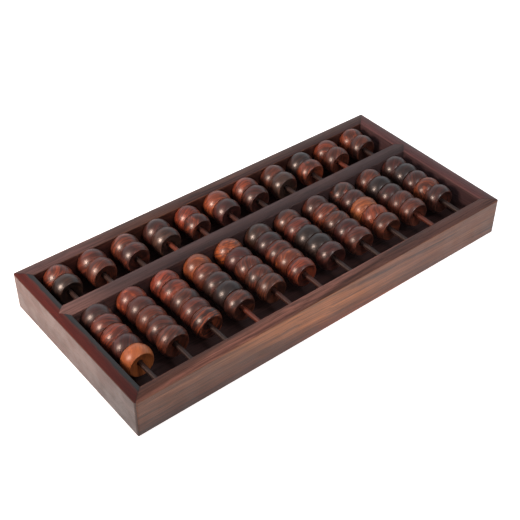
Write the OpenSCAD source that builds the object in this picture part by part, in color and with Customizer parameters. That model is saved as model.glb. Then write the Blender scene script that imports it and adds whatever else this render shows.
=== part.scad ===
// Two-deck bead abacus: a mitred hardwood frame on a base panel, a divider
// beam, eleven rods, and on each rod two upper beads and five lower beads.
// All lengths are in millimetres. +X runs along the frame from the first
// column to the last, +Y runs from the front rail to the rear rail, +Z is up.
// The origin is the centre of the underside. The upper deck is the rear one.

/* [Frame] */
// Length of the frame over the end rails
frame_l = 275; // [268:1:300]
// Width of the frame from the front face to the rear face
frame_w = 127.5; // [123:0.5:138]
// Height of the frame at the crown of its rails
frame_h = 26.3; // [25:0.1:30]
// Thickness of the four rails
rail_t = 8.8; // [8:0.1:10]
// Rise of the crowned top across a rail
crown_rise = 0.6; // [0.3:0.05:1]
// Radius that eases the top edges of the rails and the beam
arris_r = 0.8; // [0.4:0.1:1.2]
// Radius that eases the outer bottom edge
foot_r = 1.2; // [0.6:0.1:1.8]
// Radius of the four upright outer corners
corner_r = 2; // [1:0.1:3]

/* [Divider beam] */
// Width of the beam that parts the two decks
beam_w = 10.1; // [8:0.1:11]
// Clear depth of the upper deck, from the beam to the rear rail
upper_deck = 32.35; // [30:0.05:36]
// How deep the pointed ends of the beam are let into the end rails
beam_housing = 5; // [3:0.1:6]

/* [Base panel] */
// Thickness of the base panel
panel_t = 3; // [2:0.1:4]
// Width of the rebate in the rails that the panel sits in
panel_lap = 4; // [2.5:0.1:5]

/* [Rods] */
// Diameter of the eleven rods
rod_d = 3; // [2.4:0.1:3.4]
// Height of the rod axes above the underside
rod_z = 18.8; // [16.5:0.1:19.5]
// Distance from an end rail to the axis of the nearest rod
end_margin = 12.7; // [11:0.1:14]
// Depth of the blind sockets that hold the rod ends
socket_depth = 5; // [3:0.1:6]

/* [Beads] */
// Diameter of a bead over its rim
bead_d = 18.8; // [16.8:0.1:19.4]
// Thickness of a bead along its rod
bead_t = 9.9; // [9:0.05:10.2]
// Diameter of a bead at each end, where its rim stops
bead_face_d = 15.4; // [13:0.1:16.2]
// Width of the flat lip round each end of a bead
bead_lip = 0.5; // [0.2:0.05:1]
// Depth of the dished hollow inside that lip
bead_dish = 2.4; // [0.6:0.1:3]
// Diameter of the hole through a bead
bead_bore_d = 3.8; // [3.6:0.1:5]
// Width of the eased mouth of that hole
bore_ease = 0.35; // [0.1:0.05:0.8]
// How far a bead hangs below the axis of its rod
bead_drop = 0.2; // [0:0.05:0.3]

/* [Corner splines] */
// Length of the hidden spline across each mitre
spline_l = 7; // [4:0.1:8]
// Thickness of the spline
spline_t = 2.4; // [1.5:0.1:3]
// Height of the spline
spline_h = 12; // [8:0.5:14]

/* [Hidden] */
rod_count = 11;           // one rod for each column
lower_count = 5;          // beads of each column in front of the beam
glue = 0.04;              // hairline at a glued joint
bead_gap = 0.06;          // air between a bead and the next thing on its rod
rod_end_gap = 0.1;        // air between a rod end and the bottom of its socket
spline_z = 13;            // centre height of the corner splines
eps = 1;                  // overrun of a cutter
arc_swell = 1.03;         // enlarges easing arcs, which so meet their flats at a slight angle

x_out = frame_l/2;                    // outer face of an end rail
y_out = frame_w/2;                    // outer face of a long rail
x_in = x_out - rail_t;                // inner face of an end rail
y_in = y_out - rail_t;                // inner face of a long rail
mitre_inset = glue*sqrt(2)/2;         // shortens each end of a rail for the mitre's hairline
beam_rear = y_in - upper_deck;        // rear face of the beam
beam_front = beam_rear - beam_w;      // front face of the beam
rod_pitch = (2*x_in - 2*end_margin)/(rod_count - 1);
bead_z = rod_z - bead_drop;           // centre height of every bead

function rod_x(c) = -x_in + end_margin + (c - 1)*rod_pitch;

// Centre of bead i in a row that starts at rear_stop; 0 is the rearmost.
function bead_y(rear_stop, i) = rear_stop - bead_gap - bead_t/2 - i*(bead_t + bead_gap);

// How many lower beads of column c stay at the beam when the rest is drawn down.
function inner_count(c) = 1 + (c - 1) % (lower_count - 1);

// Radius of an arc that rises by rise over a chord of twice half_chord.
function arc_radius(half_chord, rise) = (half_chord*half_chord + rise*rise)/(2*rise);

function column_node(kind, c) = str(kind, c < 10 ? "_0" : "_", c);

NODES = concat(
    ["front_rail", "rear_rail", "left_rail", "right_rail", "divider_beam",
     "base_panel", "rods", "corner_splines"],
    [for (kind = ["upper_rear_bead", "upper_front_bead",
                  "lower_inner_beads", "lower_outer_beads"])
        for (c = [1 : rod_count]) column_node(kind, c)]);
node = "all";

// ---- helpers --------------------------------------------------------------

// The children and their mirror image.
module mirrored_pair(axis) {
    children();
    mirror(axis) children();
}

// A row of cylinders on the rod axes, running rearward from y_start.
module rod_row(diameter, y_start, length) {
    for (c = [1 : rod_count])
        translate([rod_x(c), y_start, rod_z])
            rotate([-90, 0, 0])
                cylinder(d = diameter, h = length, $fn = 48);
}

// ---- sections -------------------------------------------------------------

// Waste outside an easing arc centred on [0, 0], in the quadrant whose signs
// are side_x and side_y.
module ease_waste(radius, side_x, side_y) {
    reach = radius + eps;
    difference() {
        polygon([[0, 0], [side_x*reach, 0], [side_x*reach, side_y*reach], [0, side_y*reach]]);
        circle(r = radius*arc_swell, $fn = 64);
    }
}

// Upright board section from [0, 0], with a crowned top and both top edges
// eased.
module crowned_section(width, height) {
    crown_r = arc_radius(width/2, crown_rise);
    crown_centre = height - crown_r;
    arris_inset = width/2 - arris_r;
    // an easing arc touches the crown from inside
    arris_centre = crown_centre + sqrt(pow(crown_r - arris_r, 2) - pow(arris_inset, 2));
    trim_depth = crown_rise + 0.5;    // the crown cutter reaches below the crown's edges
    difference() {
        square([width, height]);
        difference() {
            translate([-eps, height - trim_depth]) square([width + 2*eps, trim_depth + eps]);
            translate([width/2, crown_centre]) circle(r = crown_r, $fn = 128);
        }
        for (side = [-1, 1])
            translate([width/2 + side*arris_inset, arris_centre]) ease_waste(arris_r, side, 1);
    }
}

// A rail's section: its outer face is at 0 and its inner face at rail_t.
module rail_section() {
    difference() {
        crowned_section(rail_t, frame_h);
        translate([foot_r, foot_r]) ease_waste(foot_r, -1, -1);
        translate([rail_t - panel_lap, -eps]) square([panel_lap + eps, panel_t + glue + eps]);
    }
}

// ---- frame ----------------------------------------------------------------

// Rounds the upright outer corner at the front left.
module corner_waste() {
    translate([-x_out, -y_out, -eps])
        linear_extrude(frame_h + 2*eps)
            translate([corner_r, corner_r]) ease_waste(corner_r, -1, -1);
}

// The spline across the front left mitre, grown on every face.
module corner_spline(growth = 0) {
    translate([-x_out + rail_t/2, -y_out + rail_t/2, spline_z])
        rotate([0, 0, -45])
            cube([spline_l + 2*growth, spline_t + 2*growth, spline_h + 2*growth], center = true);
}

// A long rail along X, drawn at the front.
module long_rail() {
    difference() {
        intersection() {
            translate([0, -y_out, 0])
                rotate([90, 0, 90])
                    linear_extrude(frame_l + 4*eps, center = true) rail_section();
            translate([0, 0, -eps])
                linear_extrude(frame_h + 2*eps)
                    polygon([
                        [-x_out - eps + mitre_inset, -y_out - eps],
                        [x_out + eps - mitre_inset, -y_out - eps],
                        [x_in - eps - mitre_inset, -y_in + eps],
                        [-x_in + eps + mitre_inset, -y_in + eps]]);
        }
        mirrored_pair([1, 0, 0]) corner_waste();
        mirrored_pair([1, 0, 0]) corner_spline(glue);
        rod_row(rod_d + 2*glue, -y_in - socket_depth, socket_depth + eps);
    }
}

// An end rail along Y, drawn at the left.
module end_rail() {
    difference() {
        intersection() {
            translate([-x_out, 0, 0])
                rotate([90, 0, 0])
                    linear_extrude(frame_w + 4*eps, center = true) rail_section();
            translate([0, 0, -eps])
                linear_extrude(frame_h + 2*eps)
                    polygon([
                        [-x_out - eps, -y_out - eps + mitre_inset],
                        [-x_in + eps, -y_in + eps + mitre_inset],
                        [-x_in + eps, y_in - eps - mitre_inset],
                        [-x_out - eps, y_out + eps - mitre_inset]]);
        }
        mirrored_pair([0, 1, 0]) corner_waste();
        mirrored_pair([0, 1, 0]) corner_spline(glue);
        translate([0, 0, panel_t]) linear_extrude(frame_h) beam_plan(glue);
    }
}

module front_rail() {
    color([0.42, 0.25, 0.20]) long_rail();
}

module rear_rail() {
    color([0.38, 0.24, 0.22]) mirror([0, 1, 0]) long_rail();
}

module left_rail() {
    color([0.40, 0.22, 0.18]) end_rail();
}

module right_rail() {
    color([0.38, 0.24, 0.22]) mirror([1, 0, 0]) end_rail();
}

// Outline of the beam from above, grown square to its edges. Each end is a
// point, so that the crown of the beam meets the crown of the rail along two
// mitre lines.
module beam_plan(growth = 0) {
    middle = (beam_front + beam_rear)/2;
    half_w = beam_w/2;
    side = half_w + growth;
    slant = sqrt(beam_housing*beam_housing + half_w*half_w);   // edge of a pointed end
    tip_x = x_in + beam_housing + growth*slant/half_w;
    shoulder_x = x_in + growth*(slant - beam_housing)/half_w;
    polygon([
        [shoulder_x, middle - side], [tip_x, middle], [shoulder_x, middle + side],
        [-shoulder_x, middle + side], [-tip_x, middle], [-shoulder_x, middle - side]]);
}

// The beam stands on the base panel between the decks; the rods pass through.
module divider_beam() {
    base_z = panel_t + glue;
    color([0.30, 0.20, 0.19]) difference() {
        intersection() {
            translate([0, beam_front, base_z])
                rotate([90, 0, 90])
                    linear_extrude(2*(x_in + beam_housing + eps), center = true)
                        crowned_section(beam_w, frame_h - base_z);
            linear_extrude(frame_h + eps) beam_plan();
        }
        rod_row(rod_d + 2*glue, beam_front - eps, beam_w + 2*eps);
    }
}

// The panel closes the bottom and is flush with the underside of the rails.
module base_panel() {
    half_x = x_in + panel_lap - glue;
    half_y = y_in + panel_lap - glue;
    color([0.16, 0.09, 0.08])
        translate([-half_x, -half_y, 0]) cube([2*half_x, 2*half_y, panel_t]);
}

// Straight rods, each from the front rail's socket to the rear one's.
module rods() {
    half_length = y_in + socket_depth - rod_end_gap;
    color([0.25, 0.17, 0.15]) rod_row(rod_d, -half_length, 2*half_length);
}

module corner_splines() {
    color([0.45, 0.30, 0.20])
        mirrored_pair([1, 0, 0]) mirrored_pair([0, 1, 0]) corner_spline();
}

// ---- beads ----------------------------------------------------------------

// A turned bead: its rim is one arc, each end is a shallow dish inside a flat
// lip, and its hole has eased mouths. The bead's axis is Y and its centre is
// the origin.
module bead() {
    rim_r = bead_d/2;
    face_r = bead_face_d/2;
    bore_r = bead_bore_d/2;
    half_t = bead_t/2;
    // the rim's arc passes through the edge of each face
    rim_centre = (rim_r*rim_r - face_r*face_r - half_t*half_t)/(2*(rim_r - face_r));
    dish_r = arc_radius(face_r - bead_lip, bead_dish);
    dish_centre = half_t - bead_dish + dish_r;
    mouth = dish_centre - sqrt(dish_r*dish_r - bore_r*bore_r);   // where the bore meets the dish
    rotate([90, 0, 0]) rotate_extrude($fn = 96) difference() {
        intersection() {
            translate([rim_centre, 0]) circle(r = rim_r - rim_centre, $fn = 96);
            translate([bore_r, -half_t]) square([rim_r, bead_t]);
        }
        for (side = [-1, 1]) {
            translate([0, side*dish_centre]) circle(r = dish_r, $fn = 128);
            polygon([
                [bore_r - eps, side*(mouth + 2*eps)],
                [bore_r + bore_ease + 2*eps, side*(mouth + 2*eps)],
                [bore_r - eps, side*(mouth - bore_ease - eps)]]);
        }
    }
}

// Beads first to last of column c, counted forward from rear_stop.
module bead_row(c, rear_stop, first, last) {
    for (i = [first : last])
        translate([rod_x(c), bead_y(rear_stop, i), bead_z]) bead();
}

module upper_rear_bead(c) {
    color(c % 3 == 0 ? [0.36, 0.18, 0.12] : [0.48, 0.23, 0.13])
        bead_row(c, y_in, 0, 0);
}

module upper_front_bead(c) {
    color(c % 2 == 0 ? [0.33, 0.19, 0.15] : [0.24, 0.16, 0.14])
        bead_row(c, y_in, 1, 1);
}

module lower_inner_beads(c) {
    color(c % 2 == 0 ? [0.45, 0.22, 0.14] : [0.26, 0.17, 0.15])
        bead_row(c, beam_front, 0, inner_count(c) - 1);
}

module lower_outer_beads(c) {
    color(c == 1 ? [0.72, 0.38, 0.20] : [0.32, 0.18, 0.14])
        bead_row(c, beam_front, inner_count(c), lower_count - 1);
}

function shown(name) = node == "all" || node == name;

if (shown("front_rail")) front_rail();
if (shown("rear_rail")) rear_rail();
if (shown("left_rail")) left_rail();
if (shown("right_rail")) right_rail();
if (shown("divider_beam")) divider_beam();
if (shown("base_panel")) base_panel();
if (shown("rods")) rods();
if (shown("corner_splines")) corner_splines();
for (c = [1 : rod_count]) {
    if (shown(column_node("upper_rear_bead", c))) upper_rear_bead(c);
    if (shown(column_node("upper_front_bead", c))) upper_front_bead(c);
    if (shown(column_node("lower_inner_beads", c))) lower_inner_beads(c);
    if (shown(column_node("lower_outer_beads", c))) lower_outer_beads(c);
}
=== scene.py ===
"""The looks of a two-deck bead abacus: a mitred rosewood tray with eleven rods and turned beads.

The tray lies flat. Its columns are counted along +X from the left, its rods run along Y from the
front (-Y) to the rear (+Y), and Z is up. Objects are built in metres; wood is patterned and
beads are turned in millimetres, so that a pattern's size reads as a real size."""

import math
import random

import bpy
from mathutils import Matrix, Vector


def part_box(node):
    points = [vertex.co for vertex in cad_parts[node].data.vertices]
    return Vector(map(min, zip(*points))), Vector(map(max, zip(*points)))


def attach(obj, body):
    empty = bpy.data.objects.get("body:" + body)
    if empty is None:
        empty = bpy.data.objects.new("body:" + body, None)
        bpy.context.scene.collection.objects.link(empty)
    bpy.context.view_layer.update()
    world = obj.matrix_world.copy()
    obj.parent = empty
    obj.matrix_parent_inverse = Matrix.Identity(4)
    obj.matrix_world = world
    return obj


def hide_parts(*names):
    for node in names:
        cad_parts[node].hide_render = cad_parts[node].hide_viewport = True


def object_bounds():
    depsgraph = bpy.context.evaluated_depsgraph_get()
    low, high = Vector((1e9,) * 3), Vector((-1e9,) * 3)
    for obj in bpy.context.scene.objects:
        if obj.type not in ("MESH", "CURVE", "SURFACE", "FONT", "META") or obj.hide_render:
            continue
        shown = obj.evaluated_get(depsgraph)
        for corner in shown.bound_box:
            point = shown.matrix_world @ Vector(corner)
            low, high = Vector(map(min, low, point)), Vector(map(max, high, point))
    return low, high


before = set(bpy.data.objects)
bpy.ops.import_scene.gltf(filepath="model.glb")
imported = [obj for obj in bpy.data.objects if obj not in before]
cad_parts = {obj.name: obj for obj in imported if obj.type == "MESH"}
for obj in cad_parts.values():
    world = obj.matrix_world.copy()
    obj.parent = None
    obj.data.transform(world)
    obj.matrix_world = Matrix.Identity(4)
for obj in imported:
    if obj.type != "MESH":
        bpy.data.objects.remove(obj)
CAD_LO, CAD_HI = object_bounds()
MM = 0.001
COLUMNS = 11
scene = bpy.context.scene


# --------------------------------------------------------------------------- node helpers

class Tree:
    """A short way to write the node tree of a material or world.

    A value is a number, a tuple or the output of another node."""

    def __init__(self, owner):
        owner.use_nodes = True
        self.nodes = owner.node_tree.nodes
        self.links = owner.node_tree.links

    def put(self, socket, value):
        if value is None:
            return
        if isinstance(value, bpy.types.NodeSocket):
            self.links.new(value, socket)
        elif isinstance(value, tuple) and len(value) == 3 and socket.type == "RGBA":
            socket.default_value = (*value, 1.0)
        else:
            socket.default_value = value

    def fill(self, node, inputs):
        for key, value in inputs.items():
            self.put(node.inputs[key], value)

    def node(self, kind, inputs, **settings):
        node = self.nodes.new("ShaderNode" + kind)
        for key, value in settings.items():
            setattr(node, key, value)
        self.fill(node, inputs)
        return node

    def math(self, operation, *values, clamp=False):
        inputs = dict(enumerate(values))
        return self.node("Math", inputs, operation=operation, use_clamp=clamp).outputs[0]

    def add(self, a, b, clamp=False):
        return self.math("ADD", a, b, clamp=clamp)

    def sub(self, a, b, clamp=False):
        return self.math("SUBTRACT", a, b, clamp=clamp)

    def mul(self, a, b):
        return self.math("MULTIPLY", a, b)

    def size(self, value):
        return self.math("ABSOLUTE", value)

    def centred(self, noise, span):
        """A noise of 0 to 1, spread evenly about zero."""
        return self.math("MULTIPLY_ADD", noise, span, -span / 2)

    def xyz(self, vector):
        return tuple(self.node("SeparateXYZ", {0: vector}).outputs)

    def vec(self, *parts):
        return self.node("CombineXYZ", dict(enumerate(parts))).outputs[0]

    def noise(self, vector, scale=1.0, detail=3.0, rough=0.55):
        inputs = {"Vector": vector, "Scale": scale, "Detail": detail, "Roughness": rough}
        return self.node("TexNoise", inputs).outputs[0]

    def stretched(self, place, scales, detail, rough):
        """Noise with its own scale, per millimetre, along each part of the place."""
        vector = self.vec(*(self.mul(part, scale) for part, scale in zip(place, scales)))
        return self.noise(vector, detail=detail, rough=rough)

    def ramp(self, value, stops):
        """Colours between stops of (position, colour)."""
        node = self.node("ValToRGB", {0: value})
        elements = node.color_ramp.elements
        while len(elements) < len(stops):
            elements.new(0.5)
        for element, (position, colour) in zip(elements, stops):
            element.position = position
            element.color = (*colour, 1.0)
        return node.outputs[0]

    def smooth(self, value, low, high, to=(0.0, 1.0)):
        """A soft step from to[0] at low to to[1] at high."""
        inputs = {0: value, 1: low, 2: high, 3: to[0], 4: to[1]}
        return self.node("MapRange", inputs, interpolation_type="SMOOTHSTEP").outputs[0]

    def mix(self, share, a, b, blend="MIX"):
        inputs = {0: share, 6: a, 7: b}
        return self.node("Mix", inputs, data_type="RGBA", blend_type=blend).outputs[2]

    def towards(self, share, colour, depth, other):
        """Mixes in, by share, a colour that lies at depth on the way to the other one."""
        return self.mix(share, colour, self.mix(depth, colour, other))

    def tint(self, share, colour, factor):
        """Mixes in, by share, the colour multiplied by the factor."""
        return self.mix(share, colour, self.mix(1.0, colour, factor, "MULTIPLY"))

    def attribute(self, name, output="Vector"):
        node = self.node("Attribute", {}, attribute_type="GEOMETRY", attribute_name=name)
        return node.outputs[output]

    def bump(self, height, distance_mm, strength, normal=None):
        inputs = {"Strength": strength, "Distance": distance_mm * MM,
                  "Height": height, "Normal": normal}
        return self.node("Bump", inputs).outputs[0]

    def relief(self, fibre, fine, pores, shares, distance_mm, strength, swell, swell_mm,
               swell_strength):
        """Normal of the grain over a slow swell; shares weigh the fibre, fine and pores."""
        height = self.add(self.mul(fibre, shares[0]), self.mul(fine, shares[1]))
        height = self.sub(height, self.mul(pores, shares[2]))
        grain = self.bump(height, distance_mm, strength)
        return self.bump(swell, swell_mm, swell_strength, grain)

    def surface(self, **inputs):
        """Ends a material; an underscore stands for a space in an input's name."""
        named = {key.replace("_", " "): value for key, value in inputs.items()}
        shader = self.node("BsdfPrincipled", named)
        self.node("OutputMaterial", {"Surface": shader.outputs[0]})


def new_wood(name):
    mat = bpy.data.materials.new(name)
    tree = Tree(mat)
    tree.nodes.clear()
    return mat, tree


def scaled(colour, factor):
    return tuple(part * factor for part in colour)


# --------------------------------------------------------------------------- board wood

# Noise layers as (scales along, across and up the board), detail, roughness.
SLOW_WANDER = (0.010, 0.03, 0.03), 2.0, 0.55
QUICK_WANDER = (0.045, 0.05, 0.05), 2.0, 0.55
BOARD_LAYERS = [
    ((0.008, 0.34, 0.40), 5.0, 0.66),    # streak
    ((0.030, 2.1, 2.1), 3.0, 0.6),       # fine
    ((0.24, 6.5, 6.5), 2.0, 0.6),        # fibre
    ((0.16, 4.4, 4.4), 1.0, 0.5),        # pore
    ((0.014, 0.06, 0.07), 3.0, 0.6),     # patch
    ((0.011, 0.85, 0.85), 3.0, 0.62),    # line
]
PORE_STEP = (0.66, 0.76)             # noise above this is a pore, in boards and beads
HOLLOW_X = (128.9, 129.2)            # where the inside of the tray ends, mm from its middle
HOLLOW_Y = (55.1, 55.4)
MITRE = (128.7, 54.95)               # x and y of a point on the mitre line
ZONE_SLANT = 12.0                    # run of a top zone's border along the rail, per mm across
ZONE_ORIGIN = 63.75                  # -mm across, where the slanted border is at its given place


def add_zones(tree, colour, zones, length, width, bent_up, upward, streak):
    """Stretches of the board in another tone, broken up by the streaks."""
    for low, high, soft, strength, shade, faces in zones:
        reach = tree.add(length, tree.mul(bent_up, 2.6 if faces == "side" else 1.4))
        if faces == "top":
            slant = tree.math("MULTIPLY_ADD", width, ZONE_SLANT, ZONE_SLANT * ZONE_ORIGIN)
            reach = tree.sub(reach, slant)
        inside = tree.mul(tree.smooth(reach, low - soft, low + soft),
                          tree.smooth(reach, high - soft, high + soft, to=(1.0, 0.0)))
        lively = tree.smooth(streak, 0.36, 0.60, to=(0.35, 1.0))
        if faces != "all":
            inside = tree.mul(inside, upward if faces == "top" else tree.sub(1.0, upward))
        colour = tree.mix(tree.mul(tree.mul(inside, lively), strength), colour, shade)
    return colour


def paint_shade_reflection_strip(tree, colour, split, length, width, across, seed, nz, streak, light):
    """Painted shade and reflection on the upward face past a wandering line, a dark, cool strip for
    the sweep mirrored in the shaded inner slope, with a pale edge before it.
    """
    place, roam, hand, other = split
    long_noise = tree.noise(tree.vec(tree.mul(length, 0.035), 3.0, seed))
    short_noise = tree.noise(tree.vec(tree.mul(length, 0.25), tree.mul(across, 0.3), seed),
                             detail=2.0, rough=0.5)
    line = tree.add(tree.centred(long_noise, 2.0 * roam), tree.centred(short_noise, 1.0))
    past = tree.mul(tree.sub(tree.sub(width, place), line), hand)
    pale = tree.mul(tree.smooth(past, -1.5, -0.3), tree.smooth(past, -0.3, 0.3, to=(1.0, 0.0)))
    colour = tree.mix(tree.mul(pale, 0.35), colour, tree.mix(0.5, light, other))
    # painted shade and reflection: past the line the top takes the dark, cool colour
    beyond = tree.mul(tree.smooth(past, -0.35, 0.35), tree.smooth(nz, 0.25, 0.6))
    wood = tree.mix(tree.smooth(streak, 0.35, 0.65), scaled(other, 0.6), other)
    return tree.mix(beyond, colour, wood)


def paint_hollow_shade(tree, colour, factor, x, y, nz):
    """Painted shade and veil: tints the faces that look in towards the beads, as light falls in the
    hollow of the tray.
    """
    inside_x = tree.smooth(tree.size(x), *HOLLOW_X, to=(1.0, 0.0))
    inside_y = tree.smooth(tree.size(y), *HOLLOW_Y, to=(1.0, 0.0))
    not_up = tree.smooth(nz, 0.3, 0.8, to=(1.0, 0.0))
    return tree.tint(tree.mul(tree.mul(inside_x, inside_y), not_up), colour, factor)


def rubbed_arris(tree, place, nx, ny, nz):
    """How rubbed the surface is: high where it turns from one face into another."""
    side = tree.math("MAXIMUM", tree.size(nx), tree.size(ny))
    edge = tree.smooth(tree.mul(side, tree.size(nz)), 0.26, 0.48)
    patchy = tree.noise(place, scale=0.16, detail=4.0, rough=0.65)
    return tree.mul(edge, tree.smooth(patchy, 0.40, 0.66, to=(0.15, 1.0)))


def board_wood(name, grain, dark, mid, light, warm, seed=0.0, pith=(9.0, -30.0), ring=0.42,
               rough=(0.34, 0.48), coat=0.08, wear=0.3, depth=0.03, top=None, slope=0.0,
               zones=(), contrast=1.0, inner=None, split=None, seam=False, low=None, fade=None,
               spec=0.42, figure=0.75):
    """Long-grained rosewood for rails, beam, panel, splines and rods, patterned by position.

    grain: the axis the fibres follow.      pith, ring: centre and density of the growth rings.
    slope: lean of the fibres.              figure: strength of the dark and pale grain lines.
    wear: strength of the rubbed arrises.   depth: depth of the grain, mm.
    top, inner: tints of the upward faces and of those towards the beads, painted reflection and
    shade.
    zones: (from, to, softness, strength, colour, "all" or "top" or "side" faces) along the board.
    split: (place across, wander, side, colour) of a painted strip of shade and reflection on the
    upward face.
    seam: draws the dark glue line of the mitres.
    low: (from, to, tint) of painted shade at the foot of the board, darker towards the floor,
    weaker past that stretch of the length.
    fade: (from, to) across, (from, to) along and tint, for one edge of the upward face."""
    mat, tree = new_wood(name)
    place = tree.node("VectorMath", {0: tree.node("TexCoord", {}).outputs["Object"],
                                     "Scale": 1000.0}, operation="SCALE").outputs[0]
    x, y, z = tree.xyz(place)
    length, width = (x, y) if grain == "x" else (y, x)
    along = tree.add(length, seed * 37.0)
    across = tree.add(width, seed * 11.0)

    # slow wander of the fibres, so that no streak is ruled straight
    straight = (along, across, z)
    wander = tree.add(tree.centred(tree.stretched(straight, *SLOW_WANDER), 7.0),
                      tree.centred(tree.stretched(straight, *QUICK_WANDER), 2.0))
    bent_across = tree.add(across, tree.mul(wander, 0.6))
    bent_up = tree.add(tree.add(z, wander), tree.mul(length, slope))

    # growth rings about the pith, and long streaks from broad bands down to single fibres
    from_pith = tree.vec(tree.sub(bent_across, pith[0] + seed * 11.0),
                         tree.sub(bent_up, pith[1]), 0.0)
    radius = tree.node("VectorMath", {0: from_pith}, operation="LENGTH").outputs["Value"]
    rings = tree.noise(tree.vec(tree.mul(along, 0.004), 0.0, tree.mul(radius, ring)),
                       detail=4.0, rough=0.62)
    bent = (along, bent_across, bent_up)
    streak, fine, fibre, pore, patch, line = (tree.stretched(bent, *layer)
                                              for layer in BOARD_LAYERS)
    pores = tree.smooth(pore, *PORE_STEP)

    tone = tree.add(tree.mul(rings, 0.50), tree.mul(streak, 0.50))
    tone = tree.math("MULTIPLY_ADD", tree.sub(tone, 0.5), contrast, 0.5)
    colour = tree.ramp(tone, [(0.34, dark), (0.46, mid), (0.56, mid), (0.72, light)])
    rich = tree.ramp(tone, [(0.36, mid), (0.64, warm)])
    colour = tree.mix(tree.smooth(patch, 0.52, 0.70, to=(0.0, 0.6)), colour, rich)
    normal = tree.node("NewGeometry", {}).outputs["Normal"]
    nx, ny, nz = tree.xyz(normal)
    upward = tree.smooth(nz, 0.25, 0.85)
    colour = add_zones(tree, colour, zones, length, width, bent_up, upward, streak)

    # dark and pale lines, fine shading and pores
    colour = tree.towards(tree.smooth(line, 0.36, 0.50, to=(figure, 0.0)), colour, 0.62, dark)
    colour = tree.tint(tree.smooth(line, 0.50, 0.64, to=(0.0, figure)), colour,
                       (1.42, 1.38, 1.34))
    colour = tree.towards(tree.smooth(fine, 0.36, 0.66, to=(0.50, 0.0)), colour, 0.6, dark)
    colour = tree.mix(tree.mul(pores, 0.55), colour, scaled(dark, 0.35))

    # painted reflection and shade: the upward faces tinted apart from the sides
    if top is not None:
        colour = tree.tint(upward, colour, top)
    if fade is not None:
        (width_from, width_to), (length_from, length_to), factor = fade
        here = tree.mul(tree.smooth(width, width_from, width_to), upward)
        here = tree.mul(here, tree.smooth(length, length_from, length_to))
        colour = tree.tint(here, colour, factor)
    # painted shade and reflection strip on the upward face
    if split is not None:
        colour = paint_shade_reflection_strip(tree, colour, split, length, width, across, seed, nz, streak, light)
    # painted shade and veil on the faces that look in towards the beads
    if inner is not None:
        colour = paint_hollow_shade(tree, colour, inner, x, y, nz)
    # painted shade: the board darkens towards the floor, less so past the given stretch
    if low is not None:
        foot = tree.smooth(tree.add(z, tree.centred(streak, 8.0)), 2.0, 15.0, to=(1.0, 0.0))
        foot = tree.mul(foot, tree.smooth(length, low[0], low[1], to=(1.0, 0.55)))
        colour = tree.tint(foot, colour, low[2])
    rub = rubbed_arris(tree, place, nx, ny, nz)
    colour = tree.mix(tree.mul(rub, wear), colour, tree.mix(0.5, light, warm))
    if seam:
        off = tree.sub(tree.sub(tree.size(x), MITRE[0]), tree.sub(tree.size(y), MITRE[1]))
        glue = tree.smooth(tree.size(off), 0.12, 0.42, to=(0.65, 0.0))
        colour = tree.mix(glue, colour, scaled(dark, 0.4))

    # roughness: smears, raised by pores and fibres, lowered where rubbed
    smear = tree.noise(place, scale=0.09, detail=4.0, rough=0.6)
    roughness = tree.add(tree.smooth(smear, 0.3, 0.7, to=rough), tree.mul(pores, 0.18))
    roughness = tree.add(roughness, tree.centred(fibre, 0.10))
    roughness = tree.sub(roughness, tree.mul(rub, 0.05), clamp=True)
    bumps = tree.relief(fibre, fine, pores, shares=(0.45, 0.55, 0.9),
                        distance_mm=depth, strength=0.9,
                        swell=tree.noise(place, scale=0.045, detail=2.0, rough=0.5),
                        swell_mm=0.4, swell_strength=0.35)
    tree.surface(Base_Color=colour, Roughness=roughness, Specular_IOR_Level=spec,
                 Coat_Weight=coat, Coat_Roughness=0.26, Normal=bumps)
    return mat


def tones(dark, mid, light, warm):
    """The four colours of a board."""
    return dict(dark=dark, mid=mid, light=light, warm=warm)


# painted shade of the walls inside the tray, darker with a purple cast
HOLLOW_SHADE_TINT = (0.42, 0.36, 0.46)
FRAME_TONES = tones((0.026, 0.011, 0.007), (0.135, 0.046, 0.020),
                    (0.25, 0.095, 0.040), (0.30, 0.098, 0.032))

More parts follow.
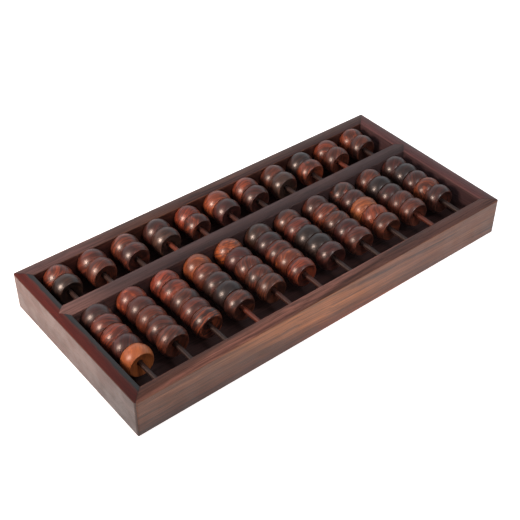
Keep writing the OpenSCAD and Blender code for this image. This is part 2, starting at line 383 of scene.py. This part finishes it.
# One material for each node of the tray.
boards = {
    "front_rail": board_wood(
        # painted reflection of the sweep on the top, painted shade on the inner wall and at the
        # foot
        "rosewood_front_rail", "x", **FRAME_TONES, slope=0.035, top=(0.80, 0.98, 1.55),
        inner=HOLLOW_SHADE_TINT, seam=True, contrast=1.3, low=(-20.0, 110.0, (0.54, 0.32, 0.16)),
        spec=0.30, figure=0.62,
        zones=((-16.0, 74.0, 24.0, 0.75, (0.40, 0.128, 0.038), "side"),
               (84.0, 152.0, 30.0, 0.65, (0.225, 0.076, 0.038), "side"),
               (162.0, 260.0, 14.0, 0.6, (0.130, 0.044, 0.024), "side"),
               (-132.0, -60.0, 16.0, 0.45, (0.16, 0.050, 0.020), "side"),
               (45.0, 360.0, 30.0, 0.65, (0.170, 0.064, 0.034), "top"),
               (-114.0, 4.0, 16.0, 0.75, (0.44, 0.155, 0.074), "top"))),
    "rear_rail": board_wood(
        "rosewood_rear_rail", "x", **FRAME_TONES, seed=1.7, pith=(-14.0, -26.0), slope=-0.02,
        # painted reflection of the sweep on the top, painted shade on the inner wall
        top=(0.62, 0.84, 1.45), inner=(0.42, 0.40, 0.62), seam=True,
        zones=((-125.0, -45.0, 20.0, 0.50, (0.27, 0.110, 0.066), "all"),),
        fade=((59.5, 55.5), (-50.0, -5.0), (0.66, 0.60, 0.70))),
    "left_rail": board_wood(
        "rosewood_left_rail", "y",
        **tones((0.036, 0.014, 0.009), (0.100, 0.040, 0.024),
                (0.15, 0.064, 0.038), (0.16, 0.058, 0.030)),
        # painted shade: the top tinted darker and redder than the greyer side; painted shade on the
        # inner wall
        seed=3.0, pith=(-20.0, -24.0), top=(0.87, 0.285, 0.285), contrast=0.7,
        inner=HOLLOW_SHADE_TINT, seam=True,
        # darker towards the front end
        zones=((-60.0, -6.0, 22.0, 0.80, (0.052, 0.024, 0.017), "all"),),
        # painted shade and reflection of the sweep on the inner half of the top; painted shade at
        # the foot
        split=(-131.6, 1.3, 1.0, (0.031, 0.034, 0.038)), spec=0.34, figure=0.45,
        low=(200.0, 300.0, (0.80, 0.77, 0.77))),
    "right_rail": board_wood(
        "rosewood_right_rail", "y",
        **tones((0.030, 0.012, 0.011), (0.120, 0.044, 0.034),
                (0.20, 0.082, 0.062), (0.22, 0.072, 0.048)),
        # painted reflection of the sweep on the top, painted shade and cool veil on the inner wall
        seed=6.3, pith=(22.0, -24.0), top=(1.0, 1.0, 1.25), contrast=0.8,
        inner=(0.70, 1.05, 1.45), seam=True, figure=0.6),
    "divider_beam": board_wood(
        "rosewood_beam", "x",
        **tones((0.024, 0.013, 0.013), (0.073, 0.041, 0.040),
                (0.138, 0.078, 0.070), (0.126, 0.058, 0.046)),
        seed=7.0, coat=0.05, rough=(0.42, 0.55), contrast=0.9, figure=0.6,
        fade=((20.5, 12.5), (-105.0, -50.0), (0.48, 0.42, 0.44)),
        zones=((-150.0, -74.0, 20.0, 0.75, (0.28, 0.145, 0.125), "all"),)),
    "base_panel": board_wood(
        "rosewood_panel", "x",
        **tones((0.032, 0.017, 0.016), (0.085, 0.042, 0.041),
                (0.140, 0.068, 0.060), (0.150, 0.064, 0.050)),
        seed=5.0, pith=(40.0, -90.0), ring=0.22, rough=(0.50, 0.62), coat=0.0, wear=0.1),
    "corner_splines": board_wood(
        "spline_wood", "x",
        **tones((0.10, 0.05, 0.03), (0.24, 0.13, 0.08), (0.40, 0.25, 0.16), (0.36, 0.20, 0.12)),
        seed=2.0, coat=0.0, rough=(0.55, 0.7)),
}
for node_name, mat in boards.items():
    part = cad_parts[node_name]
    if not part.material_slots:
        part.data.materials.append(mat)
    for slot in part.material_slots:
        slot.material = mat


# --------------------------------------------------------------------------- mesh helpers

def make_mesh(name, verts, faces, mat):
    mesh = bpy.data.meshes.new(name)
    mesh.from_pydata(verts, [], faces)
    mesh.validate()
    mesh.polygons.foreach_set("use_smooth", [True] * len(mesh.polygons))
    mesh.materials.append(mat)
    mesh.update()
    obj = bpy.data.objects.new(name, mesh)
    scene.collection.objects.link(obj)
    return obj


def register(obj, body, node_name):
    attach(obj, body)
    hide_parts(node_name)


# --------------------------------------------------------------------------- rods

ROD_TONES = {
    "dark": tones((0.014, 0.008, 0.007), (0.038, 0.022, 0.019),
                  (0.075, 0.046, 0.038), (0.065, 0.032, 0.024)),
    "brown": tones((0.022, 0.009, 0.007), (0.070, 0.028, 0.022),
                   (0.13, 0.055, 0.040), (0.12, 0.044, 0.028)),
    "red": tones((0.045, 0.012, 0.008), (0.150, 0.038, 0.022),
                 (0.23, 0.070, 0.038), (0.24, 0.065, 0.030)),
}
rod_mats = {
    kind: board_wood("rod_" + kind, "y", **colours, seed=4.0 + i, ring=1.1, rough=(0.34, 0.46),
                     coat=0.2, wear=0.0, depth=0.02, figure=0.35)
    for i, (kind, colours) in enumerate(ROD_TONES.items())
}
ROD_KINDS = "dark dark dark red brown brown dark dark dark red dark".split()
ROD_SIDES = 28
ROD_STEPS = 90                               # between the softened ends
ROD_END = [(0.0, 0.62), (0.0004, 0.86)]      # (distance from the end, share of the radius)
ROD_END_LENGTH = 0.0010

rods_lo, rods_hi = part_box("rods")
ROD_RADIUS = (rods_hi.z - rods_lo.z) / 2
ROD_Z = (rods_hi.z + rods_lo.z) / 2
ROD_LENGTH = rods_hi.y - rods_lo.y
FIRST_ROD_X = rods_lo.x + ROD_RADIUS
ROD_PITCH = (rods_hi.x - ROD_RADIUS - FIRST_ROD_X) / (COLUMNS - 1)


def rod(i):
    """A rod: nearly round, very slightly bowed and uneven, with softened ends."""
    rng = random.Random(500 + i)
    rod_x = FIRST_ROD_X + i * ROD_PITCH
    phase = [rng.uniform(0, math.tau) for _ in range(4)]
    body_length = ROD_LENGTH - 2 * ROD_END_LENGTH
    stations = ROD_END + [(ROD_END_LENGTH + body_length * k / ROD_STEPS, 1.0)
                          for k in range(ROD_STEPS + 1)]
    stations += [(ROD_LENGTH - inset, share) for inset, share in reversed(ROD_END)]
    verts, faces = [], []
    for distance, share in stations:
        t = distance / ROD_LENGTH
        sway = 0.00006 * math.sin(math.pi * 3 * t + phase[0])
        sag = 0.00005 * math.sin(math.pi * 2 * t + phase[1])
        for k in range(ROD_SIDES):
            angle = math.tau * k / ROD_SIDES
            radius = ROD_RADIUS * share * (0.982 + 0.010 * math.sin(2 * angle + phase[2])
                                           + 0.006 * math.sin(3 * angle + phase[3] + 5 * t))
            verts.append((rod_x + sway + radius * math.cos(angle), rods_lo.y + distance,
                          ROD_Z + sag + radius * math.sin(angle)))
    last = (len(stations) - 1) * ROD_SIDES
    for ring in range(0, last, ROD_SIDES):
        after = ring + ROD_SIDES
        for k in range(ROD_SIDES):
            k2 = (k + 1) % ROD_SIDES
            faces.append((ring + k, after + k, after + k2, ring + k2))
    faces.append(tuple(range(ROD_SIDES)))
    faces.append(tuple(last + k for k in reversed(range(ROD_SIDES))))
    obj = make_mesh(f"rod_{i + 1:02d}", verts, faces, rod_mats[ROD_KINDS[i]])
    register(obj, "frame", "rods")


for i in range(COLUMNS):
    rod(i)


# --------------------------------------------------------------------------- bead wood

# Noise layers as (scales along the fibre, across it and across the layers), detail, roughness.
BEAD_LAYERS = [
    ((0.05, 0.10, 1.5), 2.0, 0.55),    # line
    ((0.12, 0.35, 3.4), 3.0, 0.6),     # fine
    ((0.5, 6.0, 6.0), 2.0, 0.6),       # fibre
    ((0.42, 4.0, 4.0), 1.0, 0.5),      # pore
]
PORE_COLOUR = (0.008, 0.005, 0.005)
RUBBED_COLOUR = (0.40, 0.20, 0.12)


def bead_wood(name, rough, coat):
    """Turned and polished rosewood. Each bead carries its own wood coordinate (wco, in mm, whose
    third axis crosses the growth layers) and its own colours, as attributes of its mesh."""
    mat, tree = new_wood(name)
    wood = tree.attribute("wco")
    x, y, z = tree.xyz(wood)
    first, second, dark = (tree.attribute(key, "Color")
                           for key in ("tone_a", "tone_b", "tone_c"))
    contrast, share, density = tree.xyz(tree.attribute("kind"))
    warp = tree.noise(wood, scale=0.09, detail=3.0, rough=0.5)
    place = (x, y, tree.add(z, tree.centred(warp, 4.4)))
    layer = tree.stretched(place, (0.04, 0.06, density), detail=4.0, rough=0.60)
    line, fine, fibre, pore = (tree.stretched(place, *scales) for scales in BEAD_LAYERS)
    pores = tree.smooth(pore, *PORE_STEP)
    cloud = tree.noise(tree.vec(tree.mul(x, 0.6), y, place[2]), scale=0.115, rough=0.6)

    # two clouded colours, then broad stripes, thin lines, fine shading and pores
    clouded = tree.smooth(tree.add(cloud, tree.sub(share, 0.5)), 0.45, 0.57)
    colour = tree.mix(clouded, first, second)
    stripes = tree.smooth(layer, 0.42, 0.56)
    colour = tree.mix(tree.mul(contrast, tree.sub(1.0, stripes)), colour, dark)
    thin = tree.mul(tree.smooth(line, 0.41, 0.49, to=(1.0, 0.0)),
                    tree.math("MULTIPLY_ADD", contrast, 0.9, 0.20))
    colour = tree.towards(thin, colour, 0.75, dark)
    colour = tree.towards(tree.smooth(fine, 0.30, 0.62, to=(0.35, 0.0)), colour, 0.5, dark)
    colour = tree.mix(tree.mul(pores, 0.45), colour, PORE_COLOUR)
    patchy = tree.noise(wood, scale=0.35, detail=3.0, rough=0.6)
    rub = tree.mul(tree.attribute("edge", "Fac"),
                   tree.smooth(patchy, 0.35, 0.65, to=(0.2, 1.0)))
    colour = tree.towards(tree.mul(rub, 0.22), colour, 0.5, RUBBED_COLOUR)

    smear = tree.noise(wood, scale=0.22, detail=4.0, rough=0.6)
    grain = tree.add(tree.mul(pores, 0.15), tree.centred(fibre, 0.08))
    roughness = tree.add(tree.smooth(smear, 0.3, 0.7, to=rough), grain, clamp=True)
    bumps = tree.relief(fibre, fine, pores, shares=(0.4, 0.6, 0.8),
                        distance_mm=0.018, strength=0.8,
                        swell=tree.noise(wood, scale=0.16, detail=2.0, rough=0.5),
                        swell_mm=0.25, swell_strength=0.30)
    tree.surface(Base_Color=colour, Roughness=roughness, Specular_IOR_Level=0.5,
                 Coat_Weight=coat, Coat_Roughness=0.29, Normal=bumps)
    return mat


# Letter: first colour, second colour, colour of the dark streaks, slot.
BEAD_TONES = {
    # near black, olive brown, dark purple brown
    "K": ((0.033, 0.018, 0.016), (0.054, 0.024, 0.018), (0.011, 0.006, 0.006), "bead_dark"),
    "G": ((0.080, 0.038, 0.026), (0.054, 0.025, 0.018), (0.020, 0.010, 0.008), "bead_dark"),
    "D": ((0.090, 0.024, 0.018), (0.054, 0.016, 0.013), (0.019, 0.007, 0.006), "bead_dark"),
    # brown, red brown, red orange
    "B": ((0.165, 0.041, 0.022), (0.098, 0.025, 0.015), (0.028, 0.008, 0.006), "bead_brown"),
    "R": ((0.265, 0.055, 0.023), (0.150, 0.034, 0.017), (0.044, 0.011, 0.007), "bead_red"),
    "O": ((0.440, 0.104, 0.033), (0.300, 0.066, 0.024), (0.084, 0.018, 0.009), "bead_red"),
    # amber, bright orange
    "A": ((0.420, 0.150, 0.047), (0.340, 0.110, 0.036), (0.140, 0.042, 0.017), "bead_orange"),
    "Y": ((0.600, 0.190, 0.054), (0.510, 0.150, 0.042), (0.290, 0.074, 0.024), "bead_orange"),
}
# A bead's code: letter of the first colour, letter of the second, stripe strength from 0 to 9.
# One string for each column, its beads from the rear to the front.
UPPER_CODES = ["RD6 KG4", "BR6 BR6", "BR6 BD6", "DK5 GD5", "RG7 RD7", "OO5 DG4",
               "RB6 DB5", "BD6 GB5", "KK4 RK6", "RO6 BR5", "RB5 BD5"]
LOWER_CODES = ["GD5 BR6 RO7 DK5 YY2", "OR6 DB4 RR6 BD6 BR4", "RB6 RB5 BD5 BR5 BO9",
               "OO5 RR5 DK7 KG4 BD6", "OR6 DB6 BR6 BG5 BD6", "DK5 KD5 BR7 OR7 RO7",
               "BD6 BR7 KK4 KG4 DG5", "DB6 RB8 BD6 DB5 BR5", "GO6 DB5 AA6 RO6 BR5",
               "BR6 KG4 DG5 BR7 BR5", "DG5 KG4 DB6 RO7 DB5"]
bead_mats = {
    "bead_dark": bead_wood("bead_wood_dark", rough=(0.34, 0.44), coat=0.52),
    "bead_brown": bead_wood("bead_wood_brown", rough=(0.36, 0.46), coat=0.50),
    "bead_red": bead_wood("bead_wood_red", rough=(0.36, 0.46), coat=0.45),
    "bead_orange": bead_wood("bead_wood_orange", rough=(0.38, 0.48), coat=0.40),
}


# --------------------------------------------------------------------------- beads

bead_lo, bead_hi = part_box("upper_rear_bead_01")
BEAD_THICK = (bead_hi.y - bead_lo.y) / MM           # these and the lengths below are in mm
BEAD_RADIUS = (bead_hi.z - bead_lo.z) / 2 / MM
BORE = ROD_RADIUS / MM + 0.4                        # radius of the bore
ARRIS = 0.42                                        # radius between lip and rim
LIP = 0.45                                          # width of the flat lip
MOUTH = 0.45                                        # radius of the bore's mouth
EASE = 0.22                                         # easing of the lip's inner edge
BEAD_SIDES = 64
# Beads whose share of the full radius is given; the others draw theirs.
BEAD_SIZES = {"bead_upper_rear_05": 0.918, "bead_upper_front_05": 0.918,
              "bead_lower_01_5": 0.994}


def bead_profile(outer, half, face, dish):
    """Closed profile of a bead as (radius, position along the rod, edge weight), in mm: a bore with
    eased mouths, an end hollowed like a saucer, a narrow lip, a soft arris and a bulging rim."""
    rim_centre = (outer * outer - face * face - half * half) / (2 * (outer - face))
    rim = outer - rim_centre
    arris_r = rim_centre + math.sqrt((rim - ARRIS) ** 2 - (half - ARRIS) ** 2)
    arris_y = half - ARRIS
    rim_angle = math.atan2(arris_y, arris_r - rim_centre)
    lip_r = face - LIP
    dish_radius = (lip_r * lip_r + dish * dish) / (2 * dish)

    def hollow(r):
        return half - dish + dish_radius - math.sqrt(dish_radius * dish_radius - r * r)

    mouth_r = BORE + MOUTH
    lean = math.asin(mouth_r / dish_radius)
    hollow_r = mouth_r - MOUTH * math.sin(lean)
    mouth_y = hollow(hollow_r) - MOUTH * math.cos(lean)
    points = [(BORE, mouth_y * 0.5, 0.0), (BORE, mouth_y - 0.05, 0.0)]
    for k in range(6):                                    # rounded mouth of the bore
        angle = math.pi - (math.pi / 2 - lean) * k / 5
        points.append((mouth_r + MOUTH * math.cos(angle), mouth_y + MOUTH * math.sin(angle), 0.4))
    for k in range(1, 10):                                # hollow end
        r = hollow_r + (lip_r - EASE - hollow_r) * k / 9
        points.append((r, hollow(r), 0.0))
    corner = ((lip_r - EASE, hollow(lip_r - EASE)), (lip_r, half),
              (min(lip_r + EASE, arris_r), half))
    for k in range(1, 4):                                 # eased inner edge of the lip
        t = k / 4
        points.append(tuple((1 - t) ** 2 * u + 2 * t * (1 - t) * v + t * t * w
                            for u, v, w in zip(*corner)) + (0.5,))
    for k in range(7):                                    # arris between lip and rim
        angle = math.pi / 2 - (math.pi / 2 - rim_angle) * k / 6
        points.append((arris_r + ARRIS * math.cos(angle), arris_y + ARRIS * math.sin(angle),
                       1.0 - abs(k - 3) / 6))
    for k in range(1, 12):                                # rim, down to its middle
        angle = rim_angle * (1 - k / 12)
        points.append((rim_centre + rim * math.cos(angle), rim * math.sin(angle), 0.0))
    mirrored = [(r, -y, edge) for r, y, edge in reversed(points)]
    return [(BORE, 0.0, 0.0)] + points + [(outer, 0.0, 0.0)] + mirrored


def wood_frame(rng):
    """Axes and offset of a bead's wood; the third axis, across the layers, is tipped off Y."""
    tip = math.radians(rng.choice((8, 14, 20, 26, 38, 55)))
    spin = rng.uniform(0, math.tau)
    normal = Vector((math.sin(tip) * math.cos(spin), math.cos(tip), math.sin(tip) * math.sin(spin)))
    fibre = normal.orthogonal().normalized()
    fibre.rotate(Matrix.Rotation(rng.uniform(0, math.tau), 3, normal))
    offset = Vector([rng.uniform(-400, 400) for _ in range(3)])
    return (fibre, normal.cross(fibre), normal), offset


def small_turn(rng, axis):
    return Matrix.Rotation(math.radians(rng.uniform(-0.5, 0.5)), 3, axis)


def bead(name, centre, seed, code, node_name):
    rng = random.Random(seed)
    first, second, strength = code[0], code[1], int(code[2])
    outer = BEAD_RADIUS * (BEAD_SIZES.get(name) or rng.uniform(0.966, 0.994))
    half = BEAD_THICK / 2 - rng.uniform(0.04, 0.10)
    profile = bead_profile(outer, half, face=outer * rng.uniform(0.806, 0.828),
                           dish=rng.uniform(2.15, 2.5))
    phase = rng.uniform(0, math.tau)
    tilt = small_turn(rng, "X") @ small_turn(rng, "Z")
    drop = Vector((rng.uniform(-0.05, 0.05), 0, -rng.uniform(0.0, 0.12)))
    axes, offset = wood_frame(rng)

    verts, wood, edges, faces = [], [], [], []
    for r, y, edge in profile:
        for k in range(BEAD_SIDES):
            angle = math.tau * k / BEAD_SIDES
            # slightly out of round, except at the bore
            wobble = 1 + 0.0022 * math.sin(2 * angle + phase) * (1 if r > BORE + 0.6 else 0)
            turned = Vector((r * wobble * math.cos(angle), y, r * wobble * math.sin(angle)))
            wood += [axis.dot(turned) + shift for axis, shift in zip(axes, offset)]
            placed = tilt @ turned + drop
            verts.append(tuple(c + part * MM for c, part in zip(centre, placed)))
            edges.append(edge)
    for j in range(len(profile)):
        ring, after = j * BEAD_SIDES, (j + 1) % len(profile) * BEAD_SIDES
        for k in range(BEAD_SIDES):
            k2 = (k + 1) % BEAD_SIDES
            faces.append((ring + k, ring + k2, after + k2, after + k))
    slot = BEAD_TONES[first][3]
    obj = make_mesh(name, verts, faces, bead_mats[slot])

    def attribute(key, kind, field, values):
        obj.data.attributes.new(key, kind, "POINT").data.foreach_set(field, values)

    attribute("wco", "FLOAT_VECTOR", "vector", wood)
    attribute("edge", "FLOAT", "value", edges)
    count = len(obj.data.vertices)
    hue = [rng.uniform(0.92, 1.10) for _ in range(3)]
    for key, colour in (("tone_a", BEAD_TONES[first][0]), ("tone_b", BEAD_TONES[second][1]),
                        ("tone_c", BEAD_TONES[first][2])):
        shade = [min(1.0, part * h) for part, h in zip(colour, hue)] + [1.0]
        attribute(key, "FLOAT_COLOR", "color", shade * count)
    # stripe contrast, share of the second colour, stripe density
    kind = [0.30 + 0.075 * strength, rng.uniform(0.38, 0.56),
            0.46 + 0.065 * strength + rng.uniform(0.0, 0.25)]
    attribute("kind", "FLOAT_VECTOR", "vector", kind * count)
    register(obj, node_name, node_name)


def bead_centres(node_name, count):
    """Centres of a node's beads, nearest the rear first, from the node's box."""
    lo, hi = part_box(node_name)
    step = ((hi.y - lo.y) - BEAD_THICK * MM) / max(1, count - 1)
    x, z = (lo.x + hi.x) / 2, (lo.z + hi.z) / 2
    return [(x, hi.y - BEAD_THICK * MM / 2 - k * step, z) for k in range(count)]


for column in range(1, COLUMNS + 1):
    tag = f"{column:02d}"
    for which, code in zip(("rear", "front"), UPPER_CODES[column - 1].split()):
        node_name = f"upper_{which}_bead_{tag}"
        bead(f"bead_upper_{which}_{tag}", bead_centres(node_name, 1)[0],
             1000 + column * 20 + len(which), code, node_name)
    inner_count = 1 + (column - 1) % 4
    places = [(centre, node_name)
              for node_name, count in ((f"lower_inner_beads_{tag}", inner_count),
                                       (f"lower_outer_beads_{tag}", 5 - inner_count))
              for centre in bead_centres(node_name, count)]
    for k, ((centre, node_name), code) in enumerate(zip(places, LOWER_CODES[column - 1].split())):
        bead(f"bead_lower_{tag}_{k + 1}", centre, 2000 + column * 20 + k, code, node_name)


# --------------------------------------------------------------------------- stage, light, camera

def build_floor(half=7.0):
    z = CAD_LO.z - 0.0002
    mesh = bpy.data.meshes.new("floor")
    corners = [(-half, -half, z), (half, -half, z), (half, half, z), (-half, half, z)]
    mesh.from_pydata(corners, [], [(0, 1, 2, 3)])
    floor = bpy.data.objects.new("floor", mesh)
    scene.collection.objects.link(floor)
    mat = bpy.data.materials.new("floor_white")
    tree = Tree(mat)
    tree.fill(tree.nodes["Principled BSDF"], {
        "Base Color": (0.93, 0.93, 0.93),
        "Roughness": 0.9,
        "Specular IOR Level": 0.1,
        "Emission Color": (1.0, 1.0, 1.0),      # a lit table, so that the sweep stays white
        "Emission Strength": 0.85,
    })
    mesh.materials.append(mat)


def build_world():
    """A pale, cool sweep low down behind the object, and a dim room elsewhere."""
    world = bpy.data.worlds.new("studio")
    scene.world = world
    tree = Tree(world)
    direction = tree.node("TexCoord", {}).outputs["Generated"]
    height = tree.xyz(direction)[2]
    far_side = tree.node("VectorMath", {0: direction, 1: (0.52, 0.85, 0.0)},
                         operation="DOT_PRODUCT").outputs["Value"]
    behind = tree.smooth(far_side, -0.25, 0.55)
    sweep = tree.ramp(height, [(0.0, (0.60, 0.64, 0.67)), (0.54, (0.56, 0.60, 0.64)),
                               (0.74, (0.35, 0.355, 0.37)), (1.0, (0.34, 0.335, 0.34))])
    room = tree.ramp(height, [(0.0, (0.26, 0.25, 0.25)), (0.6, (0.30, 0.29, 0.29)),
                              (1.0, (0.34, 0.335, 0.34))])
    tree.fill(tree.nodes["Background"], {"Color": tree.mix(behind, room, sweep), "Strength": 1.0})


def lamp(name, place, target, size, power, colour, spread=None):
    """A round area light that faces its target; spread is in degrees."""
    offset = Vector(place) - Vector(target)
    away = offset.normalized()
    light = bpy.data.lights.new(name, "AREA")
    light.shape = "DISK"
    light.size = size
    light.energy = power
    light.color = colour
    if spread is not None:
        light.spread = math.radians(spread)
    obj = bpy.data.objects.new(name, light)
    obj.location = Vector(target) + away * offset.length
    obj.rotation_mode = "QUATERNION"
    obj.rotation_quaternion = away.to_track_quat("Z", "Y")
    scene.collection.objects.link(obj)


def build_camera():
    data = bpy.data.cameras.new("camera")
    camera = bpy.data.objects.new("camera", data)
    scene.collection.objects.link(camera)
    right = Vector((0.779243, -0.626670, 0.008061))
    forward = Vector((0.480063, 0.588576, -0.650475)).normalized()
    up = right.cross(forward).normalized()
    right = forward.cross(up).normalized()
    turn = Matrix((right, up, -forward)).transposed()
    place = Vector((-0.307254, -0.370314, 0.417891))
    camera.matrix_world = Matrix.Translation(place) @ turn.to_4x4()
    data.sensor_width = 36.0
    data.lens = 71.014
    data.clip_start, data.clip_end = 0.01, 50.0
    scene.camera = camera


build_floor()
build_world()
# aimed over the rear deck, so that it dies away towards the near corner
lamp("key_left", place=(-0.38, 0.045, 0.25), target=(0.30, 0.13, -0.082), size=0.14, power=0.42,
     colour=(1.0, 0.75, 0.62), spread=74)
lamp("key_front", place=(0.0, -0.44, 0.54), target=(0.06, 0.0, 0.02), size=0.06, power=0.45,
     colour=(1.0, 0.94, 0.90))
# lifts the shaded ends of the beads in the right-hand columns
lamp("fill_right", place=(0.02, -0.50, 0.36), target=(0.14, 0.03, 0.02), size=0.30, power=0.06,
     colour=(0.80, 0.90, 1.0), spread=40)
build_camera()

scene.view_settings.view_transform = "Standard"
scene.view_settings.look = "None"
